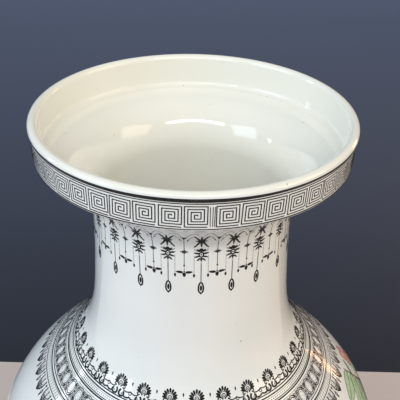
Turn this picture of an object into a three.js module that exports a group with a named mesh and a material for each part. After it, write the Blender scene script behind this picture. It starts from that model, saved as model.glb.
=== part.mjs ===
// Porcelain vase with a dish mouth, an upright rim, a tall waisted neck,
// a swelling shoulder and a body that tapers to a turned foot.
// A vase of this size is thrown in sections, which are joined with slip before
// glazing, so every section and every slip joint is a solid of its own.
// Millimetres, +Z up, origin at the centre of the face that it stands on.

import * as THREE from 'three';

// Overall height and the heights of the joints between the thrown sections.
const VASE_HEIGHT = 586;
const BASE_SEAM_HEIGHT = 50;
const FLANK_SEAM_HEIGHT = 165;
const BELLY_SEAM_HEIGHT = 290;
const SHOULDER_SEAM_HEIGHT = 368;
const NECK_SEAM_HEIGHT = 432;
const DISH_SECTION_HEIGHT = 61;

// Outer curve, from the foot up: a height, the radius there, and the flare,
// which is how fast the radius grows with height.
const FOOT_RADIUS = 92;
const FOOT_FLARE = -0.16;
const WAIST_HEIGHT = 58;
const WAIST_RADIUS = 87;
const FLANK_HEIGHT = 165;
const FLANK_RADIUS = 116;
const FLANK_FLARE = 0.34;
const BELLY_HEIGHT = 292;
const BELLY_RADIUS = 146.5;
const SHOULDER_HEIGHT = 370;
const SHOULDER_RADIUS = 123.5;
const SHOULDER_FLARE = -0.78;
const NECK_BASE_HEIGHT = 432;
const NECK_BASE_RADIUS = 71.9;
const NECK_BASE_FLARE = -0.37;
const NECK_HEIGHT = 480;
const NECK_RADIUS = 64.9;
const NECK_FLARE = -0.055;
const THROAT_RADIUS = 64.3;

// Walls and the foot.
const BODY_WALL = 8;
const NECK_WALL = 6;
const BASE_THICKNESS = 10;
const BASE_CORNER_RADIUS = 16;
const FOOT_RING_WIDTH = 9;
const FOOT_RECESS_DEPTH = 9;
const FOOT_RECESS_TAPER = 2;
const FOOT_BEVEL = 1.5;

// Dish mouth: a rolled lip on an upright rim, over a dish whose floor
// falls into the neck and whose underside curves out from it.
const LIP_RADIUS = 100.3;
const LIP_WIDTH = 6;
const LIP_HALF_HEIGHT = 3;
const LIP_STEP = 1.0;
const RIM_HEIGHT = 22;
const RIM_TAPER = 0.8;
const RIM_EDGE_RADIUS = 1.5;
const RIM_EDGE_START = -70;
const DISH_FLOOR_DEPTH = 22;
const DISH_CORNER_RADIUS = 3;
const BORE_LENGTH = 5;

// The underside of the dish is part of an ellipse whose centre lies outside the
// rim, so that the curve still slopes where it meets the rim's rounded edge.
const UNDERSIDE_CENTRE_RADIUS = 130;

// Slip joints: the layer between two sections, and the bead that it leaves inside.
const SLIP_THICKNESS = 1.0;
const SLIP_BEAD = 1.2;

// How finely the curves are divided.
const TURN_SEGMENTS = 48;
const LIP_ARC_STEPS = 6;
const DISH_ARC_STEPS = 7;
const CORNER_ARC_STEPS = 3;
const BASE_ARC_STEPS = 4;

const PORCELAIN_COLOUR = 0xe7e9e6;
const SLIP_COLOUR = 0xd8d0c0;

const THROAT_HEIGHT = VASE_HEIGHT - DISH_SECTION_HEIGHT;

// Stations that the outer curve passes through, each with its own flare.
const OUTER_STATIONS = [
  { height: FOOT_BEVEL, radius: FOOT_RADIUS, flare: FOOT_FLARE },
  { height: WAIST_HEIGHT, radius: WAIST_RADIUS, flare: 0 },
  { height: FLANK_HEIGHT, radius: FLANK_RADIUS, flare: FLANK_FLARE },
  { height: BELLY_HEIGHT, radius: BELLY_RADIUS, flare: 0 },
  { height: SHOULDER_HEIGHT, radius: SHOULDER_RADIUS, flare: SHOULDER_FLARE },
  { height: NECK_BASE_HEIGHT, radius: NECK_BASE_RADIUS, flare: NECK_BASE_FLARE },
  { height: NECK_HEIGHT, radius: NECK_RADIUS, flare: NECK_FLARE },
  { height: THROAT_HEIGHT, radius: THROAT_RADIUS, flare: 0 },
];

// Radius of the outer surface at a height: cubic spans between the stations.
function outerRadius(height) {
  let span = 0;
  while (span < OUTER_STATIONS.length - 2 && height > OUTER_STATIONS[span + 1].height) {
    span += 1;
  }
  const low = OUTER_STATIONS[span];
  const high = OUTER_STATIONS[span + 1];
  const length = high.height - low.height;
  const t = (height - low.height) / length;
  const fromLow = (1 + 2 * t) * (1 - t) ** 2 * low.radius;
  const fromHigh = t * t * (3 - 2 * t) * high.radius;
  const lowFlare = t * (1 - t) ** 2 * length * low.flare;
  const highFlare = t * t * (t - 1) * length * high.flare;
  return fromLow + fromHigh + lowFlare + highFlare;
}

// Wall thickness at a height: the body's wall up to the shoulder, which thins
// evenly to the neck's wall.
function wallAt(height) {
  const t = (height - SHOULDER_HEIGHT) / (NECK_HEIGHT - SHOULDER_HEIGHT);
  return THREE.MathUtils.lerp(BODY_WALL, NECK_WALL, THREE.MathUtils.clamp(t, 0, 1));
}

function innerRadius(height) {
  return outerRadius(height) - wallAt(height);
}

// Points on a quarter of an ellipse, from one angle to another, in degrees.
function ellipseArc(centreRadius, centreHeight, halfWidth, halfHeight, from, to, steps) {
  return Array.from({ length: steps + 1 }, (_, i) => {
    const angle = THREE.MathUtils.degToRad(from + ((to - from) * i) / steps);
    return new THREE.Vector2(
      centreRadius + halfWidth * Math.cos(angle),
      centreHeight + halfHeight * Math.sin(angle),
    );
  });
}

// Points along the outer or inner surface between two heights.
function surfacePoints(radiusAt, from, to, steps) {
  return Array.from({ length: steps + 1 }, (_, i) => {
    const height = from + ((to - from) * i) / steps;
    return new THREE.Vector2(radiusAt(height), height);
  });
}

// A profile turned about the Z axis. Profiles run up the outside and down the inside.
function turned(name, profile, colour, roughness) {
  const geometry = new THREE.LatheGeometry(profile, TURN_SEGMENTS);
  geometry.rotateX(Math.PI / 2);
  const material = new THREE.MeshStandardMaterial({ color: colour, roughness, metalness: 0 });
  const mesh = new THREE.Mesh(geometry, material);
  mesh.name = name;
  return mesh;
}

function porcelain(name, profile) {
  return turned(name, profile, PORCELAIN_COLOUR, 0.12);
}

// A ring section of the wall, open at both ends, with a flat joint face at each end.
function wallSection(name, from, to, steps) {
  const outside = surfacePoints(outerRadius, from, to, steps);
  const inside = surfacePoints(innerRadius, to, from, steps);
  return porcelain(name, [...outside, ...inside, outside[0].clone()]);
}

// The base: a disc raised on a turned foot ring, with a rounded inner corner,
// and the start of the wall up to the first joint.
function baseSection(top, steps) {
  const recess = FOOT_RECESS_DEPTH;
  const floor = recess + BASE_THICKNESS;
  const ringInside = FOOT_RADIUS - FOOT_RING_WIDTH;
  const cornerTop = floor + BASE_CORNER_RADIUS;
  const cornerCentre = innerRadius(cornerTop) - BASE_CORNER_RADIUS;
  return porcelain('base_section', [
    new THREE.Vector2(0, recess),
    new THREE.Vector2(ringInside - FOOT_RECESS_TAPER, recess),
    new THREE.Vector2(ringInside, 0),
    new THREE.Vector2(FOOT_RADIUS - FOOT_BEVEL, 0),
    ...surfacePoints(outerRadius, FOOT_BEVEL, top, steps),
    new THREE.Vector2(innerRadius(top), top),
    ...ellipseArc(cornerCentre, cornerTop, BASE_CORNER_RADIUS, BASE_CORNER_RADIUS, 0, -90, BASE_ARC_STEPS),
    new THREE.Vector2(0, floor),
  ]);
}

// The dish mouth, from the joint at the throat to the lip.
function dishSection(bottom) {
  const throatInside = innerRadius(THROAT_HEIGHT);
  const rimOutside = LIP_RADIUS - LIP_STEP;
  const rimBottom = VASE_HEIGHT - RIM_HEIGHT;
  const edgeRadius = rimOutside - RIM_TAPER - RIM_EDGE_RADIUS;
  const rimInside = LIP_RADIUS - LIP_WIDTH;
  const floorRadius = rimInside - DISH_CORNER_RADIUS;
  const floorHeight = VASE_HEIGHT - DISH_FLOOR_DEPTH;
  const lipCentre = LIP_RADIUS - LIP_WIDTH / 2;
  const lipHeight = VASE_HEIGHT - LIP_HALF_HEIGHT;
  const boreTop = THROAT_HEIGHT + BORE_LENGTH;
  const rimEdge = ellipseArc(
    edgeRadius, rimBottom, RIM_EDGE_RADIUS, RIM_EDGE_RADIUS, RIM_EDGE_START, 0, CORNER_ARC_STEPS,
  );
  const undersideHalfWidth = UNDERSIDE_CENTRE_RADIUS - THROAT_RADIUS;
  const undersideEnd = Math.acos((rimEdge[0].x - UNDERSIDE_CENTRE_RADIUS) / undersideHalfWidth);
  const undersideHalfHeight = (rimEdge[0].y - THROAT_HEIGHT) / Math.sin(undersideEnd);
  const underside = ellipseArc(
    UNDERSIDE_CENTRE_RADIUS, THROAT_HEIGHT, undersideHalfWidth, undersideHalfHeight,
    180, THREE.MathUtils.radToDeg(undersideEnd), DISH_ARC_STEPS,
  );
  const lip = ellipseArc(
    lipCentre, lipHeight, LIP_WIDTH / 2, LIP_HALF_HEIGHT, 0, 180, LIP_ARC_STEPS,
  );
  const corner = ellipseArc(
    floorRadius, floorHeight + DISH_CORNER_RADIUS, DISH_CORNER_RADIUS, DISH_CORNER_RADIUS,
    0, -90, CORNER_ARC_STEPS,
  );
  const floor = ellipseArc(
    floorRadius, boreTop, floorRadius - throatInside, floorHeight - boreTop,
    90, 180, DISH_ARC_STEPS,
  );
  return porcelain('dish_mouth', [
    new THREE.Vector2(outerRadius(bottom), bottom),
    ...underside.slice(1),
    ...rimEdge.slice(1),
    new THREE.Vector2(rimOutside, lipHeight - LIP_HALF_HEIGHT),
    ...lip,
    ...corner,
    ...floor.slice(1),
    new THREE.Vector2(innerRadius(bottom), bottom),
    new THREE.Vector2(outerRadius(bottom), bottom),
  ]);
}

// The slip between two sections: flush outside, with a low bead inside.
function slipJoint(name, seam) {
  const low = seam - SLIP_THICKNESS / 2;
  const high = seam + SLIP_THICKNESS / 2;
  const profile = [
    new THREE.Vector2(outerRadius(low), low),
    new THREE.Vector2(outerRadius(high), high),
    new THREE.Vector2(innerRadius(high), high),
    new THREE.Vector2(innerRadius(seam) - SLIP_BEAD, seam),
    new THREE.Vector2(innerRadius(low), low),
    new THREE.Vector2(outerRadius(low), low),
  ];
  return turned(name, profile, SLIP_COLOUR, 0.8);
}

const WALL_SECTIONS = [
  { name: 'lower_body', from: BASE_SEAM_HEIGHT, to: FLANK_SEAM_HEIGHT, steps: 6 },
  { name: 'flank', from: FLANK_SEAM_HEIGHT, to: BELLY_SEAM_HEIGHT, steps: 7 },
  { name: 'belly', from: BELLY_SEAM_HEIGHT, to: SHOULDER_SEAM_HEIGHT, steps: 7 },
  { name: 'shoulder', from: SHOULDER_SEAM_HEIGHT, to: NECK_SEAM_HEIGHT, steps: 7 },
  { name: 'neck', from: NECK_SEAM_HEIGHT, to: THROAT_HEIGHT, steps: 6 },
];

function buildVase() {
  const halfSlip = SLIP_THICKNESS / 2;
  const vase = new THREE.Group();
  vase.add(baseSection(BASE_SEAM_HEIGHT - halfSlip, 4));
  for (const { name, from, to, steps } of WALL_SECTIONS) {
    vase.add(wallSection(name, from + halfSlip, to - halfSlip, steps));
    vase.add(slipJoint(`slip_under_${name}`, from));
  }
  vase.add(slipJoint('slip_under_dish', THROAT_HEIGHT));
  vase.add(dishSection(THROAT_HEIGHT + halfSlip));
  return vase;
}

export default buildVase();
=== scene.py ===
"""Dish-mouth porcelain vase, dressed for its picture.

The thrown sections become fine surfaces of revolution under one glaze, the slip
joints become the low beads that they leave inside, and the overglaze enamel is
thin raised line-work that lies on the glaze.
"""

import logging
import math
from dataclasses import dataclass, field
from enum import Enum

import bpy
import numpy as np
from mathutils import Matrix, Vector


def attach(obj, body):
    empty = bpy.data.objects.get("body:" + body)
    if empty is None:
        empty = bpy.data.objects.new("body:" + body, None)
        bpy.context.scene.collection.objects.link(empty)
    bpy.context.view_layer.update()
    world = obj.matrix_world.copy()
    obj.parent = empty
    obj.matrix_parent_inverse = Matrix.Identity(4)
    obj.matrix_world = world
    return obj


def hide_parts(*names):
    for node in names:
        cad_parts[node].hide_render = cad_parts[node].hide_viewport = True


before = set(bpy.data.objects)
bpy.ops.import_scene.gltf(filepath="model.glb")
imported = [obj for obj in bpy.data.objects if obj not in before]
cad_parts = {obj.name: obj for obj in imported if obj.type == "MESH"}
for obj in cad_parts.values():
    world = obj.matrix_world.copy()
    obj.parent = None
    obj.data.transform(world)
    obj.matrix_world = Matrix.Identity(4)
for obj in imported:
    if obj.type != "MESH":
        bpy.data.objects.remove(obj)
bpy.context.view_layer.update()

LOG = logging.getLogger("vase")
MM = 0.001
BODY = "root"
SEED = 7


# Flat curves, in two columns of numbers


def arc(cx: float, cy: float, radius: float, start: float, stop: float, count: int = 12) -> np.ndarray:
    """Points on a circular arc.

    Args:
        cx, cy: centre.
        radius: radius, in the same unit.
        start, stop: angles in degrees, counted from +x towards +y.
        count: number of points.

    Returns:
        An array of count rows, x and y.
    """
    return ellipse(cx, cy, radius, radius, start, stop, count)


def ellipse(cx: float, cy: float, half_x: float, half_y: float,
            start: float = 0.0, stop: float = 360.0, count: int = 24) -> np.ndarray:
    """Points on an ellipse: the centre plus half_x cos(a) and half_y sin(a).

    Args:
        cx, cy: centre.
        half_x, half_y: half axes.
        start, stop: angles in degrees; a full turn leaves the last point out.
        count: number of points.

    Returns:
        An array of count rows, x and y.
    """
    whole = abs(stop - start) >= 360.0
    angle = np.radians(np.linspace(start, stop, count, endpoint=not whole))
    return np.column_stack([cx + half_x * np.cos(angle), cy + half_y * np.sin(angle)])


def bezier(points: list, count: int = 10) -> np.ndarray:
    """Points on a cubic Bezier curve through its two ends.

    Args:
        points: start, two handles, end.
        count: number of points.

    Returns:
        An array of count rows, x and y.
    """
    a, b, c, d = (np.asarray(p, float) for p in points)
    t = np.linspace(0.0, 1.0, count)[:, None]
    return (1 - t) ** 3 * a + 3 * t * (1 - t) ** 2 * b + 3 * t * t * (1 - t) * c + t ** 3 * d


def mirrored(points: np.ndarray) -> np.ndarray:
    """The same curve on the other side of x = 0, run backwards to keep its turn."""
    return (points * [-1.0, 1.0])[::-1]


def leaf(cx: float, cy: float, length: float, width: float, angle: float, count: int = 12) -> np.ndarray:
    """Outline of a leaf or seed: an ellipse drawn in to a point at its far end.

    Args:
        cx, cy: its blunt end.
        length, width: its size.
        angle: direction of its point in degrees.
        count: number of points.

    Returns:
        An anticlockwise outline.
    """
    turn = np.linspace(0.0, 2 * np.pi, count, endpoint=False)
    along = 0.5 * length * (1 + np.cos(turn))
    across = 0.5 * width * np.sin(turn) * (1.0 - 0.45 * along / length)
    direction = math.radians(angle)
    u = np.array([math.cos(direction), math.sin(direction)])
    v = np.array([-math.sin(direction), math.cos(direction)])
    return np.array([cx, cy]) + along[:, None] * u + across[:, None] * v


# Form of the pot


@dataclass(frozen=True)
class VaseForm:
    """Sizes of the bare pot in metres, the same as in the construction.

    The painting's depths are counted from the datum, a level just under the lip's top.
    """

    height: float = 0.586
    datum: float = 0.585
    seams: tuple = (0.050, 0.165, 0.290, 0.368, 0.432, 0.525)
    heights: tuple = (0.0015, 0.058, 0.165, 0.292, 0.370, 0.432, 0.480, 0.525)
    radii: tuple = (0.092, 0.087, 0.116, 0.1465, 0.1235, 0.0719, 0.0649, 0.0643)
    flares: tuple = (-0.16, 0.0, 0.34, 0.0, -0.78, -0.37, -0.055, 0.0)
    body_wall: float = 0.008
    neck_wall: float = 0.006
    base_thickness: float = 0.010
    base_corner: float = 0.016
    foot_ring: float = 0.009
    foot_recess: float = 0.009
    foot_taper: float = 0.002
    foot_bevel: float = 0.0015
    lip_radius: float = 0.1003
    lip_width: float = 0.0060
    lip_half: float = 0.0030
    lip_step: float = 0.0010
    rim_height: float = 0.0220
    rim_taper: float = 0.0008
    rim_edge: float = 0.0015
    rim_edge_start: float = -70.0
    underside_centre: float = 0.130
    floor_depth: float = 0.0220
    dish_corner: float = 0.003
    bore: float = 0.005

    @property
    def throat(self) -> float:
        """Height of the joint under the dish."""
        return self.heights[-1]

    def outer(self, z: np.ndarray) -> np.ndarray:
        """Outer radius: cubic spans between the stations, each with its own flare."""
        z = np.asarray(z, float)
        heights, radii, flares = (np.array(v) for v in (self.heights, self.radii, self.flares))
        span = np.clip(np.searchsorted(heights, z, side="right") - 1, 0, len(heights) - 2)
        length = heights[span + 1] - heights[span]
        t = (z - heights[span]) / length
        ends = (1 + 2 * t) * (1 - t) ** 2 * radii[span] + t * t * (3 - 2 * t) * radii[span + 1]
        pull = t * (1 - t) ** 2 * flares[span] + t * t * (t - 1) * flares[span + 1]
        return ends + pull * length

    def inner(self, z: np.ndarray) -> np.ndarray:
        """Inner radius: the outer one less the wall, which thins from shoulder to neck."""
        share = np.clip((np.asarray(z, float) - self.heights[4]) / (self.heights[6] - self.heights[4]), 0, 1)
        return self.outer(z) - (self.body_wall + (self.neck_wall - self.body_wall) * share)

    @property
    def rim_outside(self) -> float:
        """Radius of the rim just under the lip."""
        return self.lip_radius - self.lip_step

    @property
    def edge_centre(self) -> float:
        """Radius of the centre of the rim's rounded lower edge."""
        return self.rim_outside - self.rim_taper - self.rim_edge


Run = tuple[np.ndarray, np.ndarray]


def surface_run(radius_at, heights: np.ndarray, outward: float) -> Run:
    """A stretch of wall: points at the given heights, normals square to the slope.

    Args:
        radius_at: function from height to radius.
        heights: heights in the order that the profile runs.
        outward: 1 for the outside, -1 for the inside.

    Returns:
        Points and unit normals, radius and height in each row.
    """
    step = 1e-5
    slope = (radius_at(heights + step) - radius_at(heights - step)) / (2 * step)
    normal = outward * np.column_stack([np.ones_like(slope), -slope])
    return np.column_stack([radius_at(heights), heights]), normal / np.linalg.norm(normal, axis=1)[:, None]


def arc_run(centre: tuple, half: tuple, start: float, stop: float, outward: float, count: int) -> Run:
    """A stretch of ellipse, with normals that point from or to its centre.

    Args:
        centre: radius and height of the centre.
        half: half width and half height.
        start, stop: angles in degrees.
        outward: 1 where the curve bulges out of the clay, -1 where it is hollow.
        count: number of points.

    Returns:
        Points and unit normals.
    """
    angle = np.radians(np.linspace(start, stop, count))
    unit = np.column_stack([np.cos(angle), np.sin(angle)])
    normal = outward * unit / np.array(half)
    return np.array(centre) + unit * np.array(half), normal / np.linalg.norm(normal, axis=1)[:, None]


def flat_run(start: tuple, stop: tuple, count: int = 2) -> Run:
    """A straight stretch, with the normal on the right of the way that it runs."""
    share = np.linspace(0.0, 1.0, count)[:, None]
    points = np.array(start) + share * (np.array(stop) - np.array(start))
    along = np.array(stop) - np.array(start)
    normal = np.array([along[1], -along[0]]) / np.linalg.norm(along)
    return points, np.repeat(normal[None, :], count, axis=0)


def turn_matrix(angle: np.ndarray) -> tuple[np.ndarray, np.ndarray]:
    """Sine and minus cosine of an angle that is 0 at the front and grows to the right."""
    return np.sin(angle), -np.cos(angle)


def finish_mesh(name: str, vertices: np.ndarray, faces: list, smooth: bool,
                normals: np.ndarray | None = None) -> bpy.types.Object:
    """Makes an object at the origin from arrays of vertices and faces.

    Args:
        name: object name.
        vertices: one row of x, y, z for each vertex, in metres.
        faces: arrays of vertex numbers, of three or four columns.
        smooth: whether the faces are shaded smooth.
        normals: one row for each corner of each face, or None.

    Returns:
        The new object, linked to the scene.
    """
    mesh = bpy.data.meshes.new(name)
    rows = [row for block in faces for row in block.tolist()]
    mesh.from_pydata(vertices.tolist(), [], rows)
    mesh.polygons.foreach_set("use_smooth", np.full(len(rows), smooth))
    if normals is not None:
        mesh.normals_split_custom_set(normals.tolist())
    mesh.update()
    piece = bpy.data.objects.new(name, mesh)
    bpy.context.scene.collection.objects.link(piece)
    return piece


def revolve(name: str, runs: list, segments: int = 256) -> bpy.types.Object:
    """Turns a closed profile about the Z axis, keeping each run's own normals.

    The vertex at profile point (r, z) and angle a is (r sin a, -r cos a, z). A
    profile point on the axis is one vertex with a fan of triangles.

    Args:
        name: object name.
        runs: stretches of profile, each starting where the last one ends.
        segments: number of steps in a turn.

    Returns:
        The new object.
    """
    points = np.concatenate([run[0][:-1] for run in runs] + [runs[-1][0][-1:]])
    closed = np.allclose(points[0], points[-1])
    if closed:
        points = points[:-1]
    total = len(points)
    first = np.concatenate([[0], np.cumsum([len(run[0]) - 1 for run in runs])[:-1]])
    low = np.concatenate([start + np.arange(len(run[0]) - 1) for start, run in zip(first, runs)])
    high = (low + 1) % total if closed else low + 1
    low_normal = np.concatenate([run[1][:-1] for run in runs])
    high_normal = np.concatenate([run[1][1:] for run in runs])

    pole = points[:, 0] < 1e-9
    count = np.where(pole, 1, segments)
    start = np.concatenate([[0], np.cumsum(count)[:-1]])
    owner = np.repeat(np.arange(total), count)
    angle = 2 * np.pi * (np.arange(len(owner)) - start[owner]) / segments
    across, away = turn_matrix(angle)
    radius = points[owner, 0]
    vertices = np.column_stack([radius * across, radius * away, points[owner, 1]])

    step = np.arange(segments)
    here, there = turn_matrix(2 * np.pi * step / segments)
    here_next, there_next = turn_matrix(2 * np.pi * (step + 1) / segments)

    def corner(index: np.ndarray, offset: int) -> np.ndarray:
        """Vertex numbers of profile points around the turn."""
        return start[index][:, None] + (step[None, :] + offset) % count[index][:, None]

    def spread(normal: np.ndarray, sine: np.ndarray, cosine: np.ndarray) -> np.ndarray:
        """Profile normals carried round the turn."""
        parts = [normal[:, :1] * sine, normal[:, :1] * cosine, np.repeat(normal[:, 1:], segments, axis=1)]
        return np.stack(parts, axis=-1)

    faces, normals = [], []
    whole = ~pole[low] & ~pole[high]
    a, b, na, nb = low[whole], high[whole], low_normal[whole], high_normal[whole]
    quads = np.stack([corner(a, 0), corner(a, 1), corner(b, 1), corner(b, 0)], axis=-1)
    quad_normals = np.stack([
        spread(na, here, there), spread(na, here_next, there_next),
        spread(nb, here_next, there_next), spread(nb, here, there)], axis=2)
    faces.append(quads.reshape(-1, 4))
    normals.append(quad_normals.reshape(-1, 3))
    for ends, from_pole in ((pole[low], True), (pole[high], False)):
        if not ends.any():
            continue
        a, b, na, nb = low[ends], high[ends], low_normal[ends], high_normal[ends]
        if from_pole:
            rows = [corner(a, 0), corner(b, 1), corner(b, 0)]
            turns = [spread(na, here, there), spread(nb, here_next, there_next), spread(nb, here, there)]
        else:
            rows = [corner(a, 0), corner(a, 1), corner(b, 0)]
            turns = [spread(na, here, there), spread(na, here_next, there_next), spread(nb, here, there)]
        faces.append(np.stack(rows, axis=-1).reshape(-1, 3))
        normals.append(np.stack(turns, axis=2).reshape(-1, 3))
    return finish_mesh(name, vertices, faces, True, np.concatenate(normals))


# Finishes


def new_material(name: str) -> tuple:
    """An empty node material with its shader and object coordinates.

    Returns:
        The material, its nodes, its links, the Principled shader and the
        Texture Coordinate node.
    """
    material = bpy.data.materials.new(name)
    material.use_nodes = True
    nodes, links = material.node_tree.nodes, material.node_tree.links
    shader = nodes["Principled BSDF"]
    coordinates = nodes.new("ShaderNodeTexCoord")
    return material, nodes, links, shader, coordinates


def noise_node(nodes, links, coordinates, scale: float, detail: float = 3.0):
    """A noise texture on object coordinates."""
    noise = nodes.new("ShaderNodeTexNoise")
    noise.inputs["Scale"].default_value = scale
    noise.inputs["Detail"].default_value = detail
    links.new(coordinates.outputs["Object"], noise.inputs["Vector"])
    return noise


def ramp_node(nodes, links, source, stops: list):
    """A colour ramp over a value.

    Args:
        source: the output socket to colour.
        stops: pairs of position and colour, lowest first.

    Returns:
        The ramp's colour socket.
    """
    ramp = nodes.new("ShaderNodeValToRGB")
    elements = ramp.color_ramp.elements
    elements[0].position, elements[1].position = stops[0][0], stops[-1][0]
    elements[0].color, elements[1].color = (*stops[0][1], 1.0), (*stops[-1][1], 1.0)
    for position, colour in stops[1:-1]:
        elements.new(position).color = (*colour, 1.0)
    links.new(source, ramp.inputs["Fac"])
    return ramp.outputs["Color"]


def bump_node(nodes, links, source, shader, strength: float, distance: float) -> None:
    """Bumps a shader by a value."""
    bump = nodes.new("ShaderNodeBump")
    bump.inputs["Strength"].default_value = strength
    bump.inputs["Distance"].default_value = distance
    links.new(source, bump.inputs["Height"])
    links.new(bump.outputs["Normal"], shader.inputs["Normal"])


@dataclass(frozen=True)
class PorcelainGlaze:
    """Clear glaze over white clay: a faint drift of tone, a soft undulation, rare specks."""

    name: str = "porcelain_glaze"
    thin: tuple = (0.79, 0.80, 0.79)
    pooled: tuple = (0.74, 0.765, 0.76)
    speck: tuple = (0.30, 0.22, 0.15)
    roughness: float = 0.07

    def build(self) -> bpy.types.Material:
        """Returns the node material."""
        material, nodes, links, shader, coordinates = new_material(self.name)
        drift = noise_node(nodes, links, coordinates, 14.0, 4.0)
        tone = ramp_node(nodes, links, drift.outputs["Fac"], [(0.35, self.pooled), (0.65, self.thin)])
        fine = noise_node(nodes, links, coordinates, 420.0, 1.0)
        specks = ramp_node(nodes, links, fine.outputs["Fac"], [(0.80, (0, 0, 0)), (0.83, (1, 1, 1))])
        mix = nodes.new("ShaderNodeMix")
        mix.data_type = "RGBA"
        links.new(specks, mix.inputs["Factor"])
        links.new(tone, mix.inputs["A"])
        mix.inputs["B"].default_value = (*self.speck, 1.0)
        links.new(mix.outputs["Result"], shader.inputs["Base Color"])
        shader.inputs["Roughness"].default_value = self.roughness
        shader.inputs["IOR"].default_value = 1.5
        shader.inputs["Coat Weight"].default_value = 0.25
        shader.inputs["Coat Roughness"].default_value = 0.03
        ripple = noise_node(nodes, links, coordinates, 55.0, 2.0)
        bump_node(nodes, links, ripple.outputs["Fac"], shader, 0.05, 0.0006)
        return material


class Glaze(Enum):
    """The glaze outside, and the glaze poured through the inside, drawn as a lighter, creamier copy: painted
    warm light in the hollow.
    """

    OUTSIDE = PorcelainGlaze()
    # Lighter, warmer copy of the outside glaze: painted warm light and fill inside the dish and neck.
    INSIDE = PorcelainGlaze("porcelain_glaze_inside_painted_light", (0.84, 0.83, 0.765), (0.81, 0.81, 0.745))


@dataclass(frozen=True)
class Biscuit:
    """Bare fired clay on the foot: matt, slightly sandy, ironed to buff where it has stood."""

    name: str = "biscuit"
    pale: tuple = (0.66, 0.60, 0.51)
    burnt: tuple = (0.47, 0.36, 0.26)

    def build(self) -> bpy.types.Material:
        """Returns the node material."""
        material, nodes, links, shader, coordinates = new_material(self.name)
        cloud = noise_node(nodes, links, coordinates, 60.0, 6.0)
        tone = ramp_node(nodes, links, cloud.outputs["Fac"], [(0.3, self.burnt), (0.6, self.pale)])
        links.new(tone, shader.inputs["Base Color"])
        shader.inputs["Roughness"].default_value = 0.85
        grit = noise_node(nodes, links, coordinates, 1500.0, 3.0)
        bump_node(nodes, links, grit.outputs["Fac"], shader, 0.35, 0.0003)
        return material


@dataclass(frozen=True)
class Enamel:
    """Overglaze enamel laid by brush or pen: its tone drifts with its thickness."""

    name: str
    thick: tuple
    thin: tuple
    roughness: float = 0.38
    shine: float = 0.25

    def build(self) -> bpy.types.Material:
        """Returns the node material."""
        material, nodes, links, shader, coordinates = new_material(self.name)
        shader.inputs["Specular IOR Level"].default_value = self.shine
        load = noise_node(nodes, links, coordinates, 260.0, 4.0)
        tone = ramp_node(nodes, links, load.outputs["Fac"], [(0.36, self.thick), (0.66, self.thin)])
        links.new(tone, shader.inputs["Base Color"])
        shader.inputs["Roughness"].default_value = self.roughness
        grain = noise_node(nodes, links, coordinates, 2600.0, 2.0)
        bump_node(nodes, links, grain.outputs["Fac"], shader, 0.15, 0.0001)
        return material


class Ink(Enum):
    """The enamels on the palette."""

    BLACK = Enamel("enamel_black", (0.004, 0.004, 0.005), (0.018, 0.018, 0.020))
    GREY = Enamel("enamel_grey", (0.018, 0.018, 0.021), (0.070, 0.071, 0.078))
    WASH = Enamel("enamel_grey_wash", (0.52, 0.525, 0.535), (0.70, 0.705, 0.715), 0.15, 0.5)
    WHITE = Enamel("enamel_white", (0.72, 0.73, 0.74), (0.80, 0.80, 0.80), 0.12, 0.5)
    BARK = Enamel("enamel_bark", (0.075, 0.030, 0.018), (0.22, 0.095, 0.050))
    LEAF = Enamel("enamel_leaf_green", (0.070, 0.19, 0.085), (0.20, 0.36, 0.17), 0.12, 0.5)
    PALE_LEAF = Enamel("enamel_pale_green", (0.36, 0.52, 0.33), (0.52, 0.64, 0.45), 0.12, 0.5)
    BLOSSOM = Enamel("enamel_blossom_pink", (0.66, 0.25, 0.26), (0.80, 0.50, 0.48), 0.12, 0.5)
    STAMEN = Enamel("enamel_stamen_yellow", (0.62, 0.40, 0.06), (0.75, 0.58, 0.18), 0.2, 0.5)


# Enamel drawing


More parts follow.
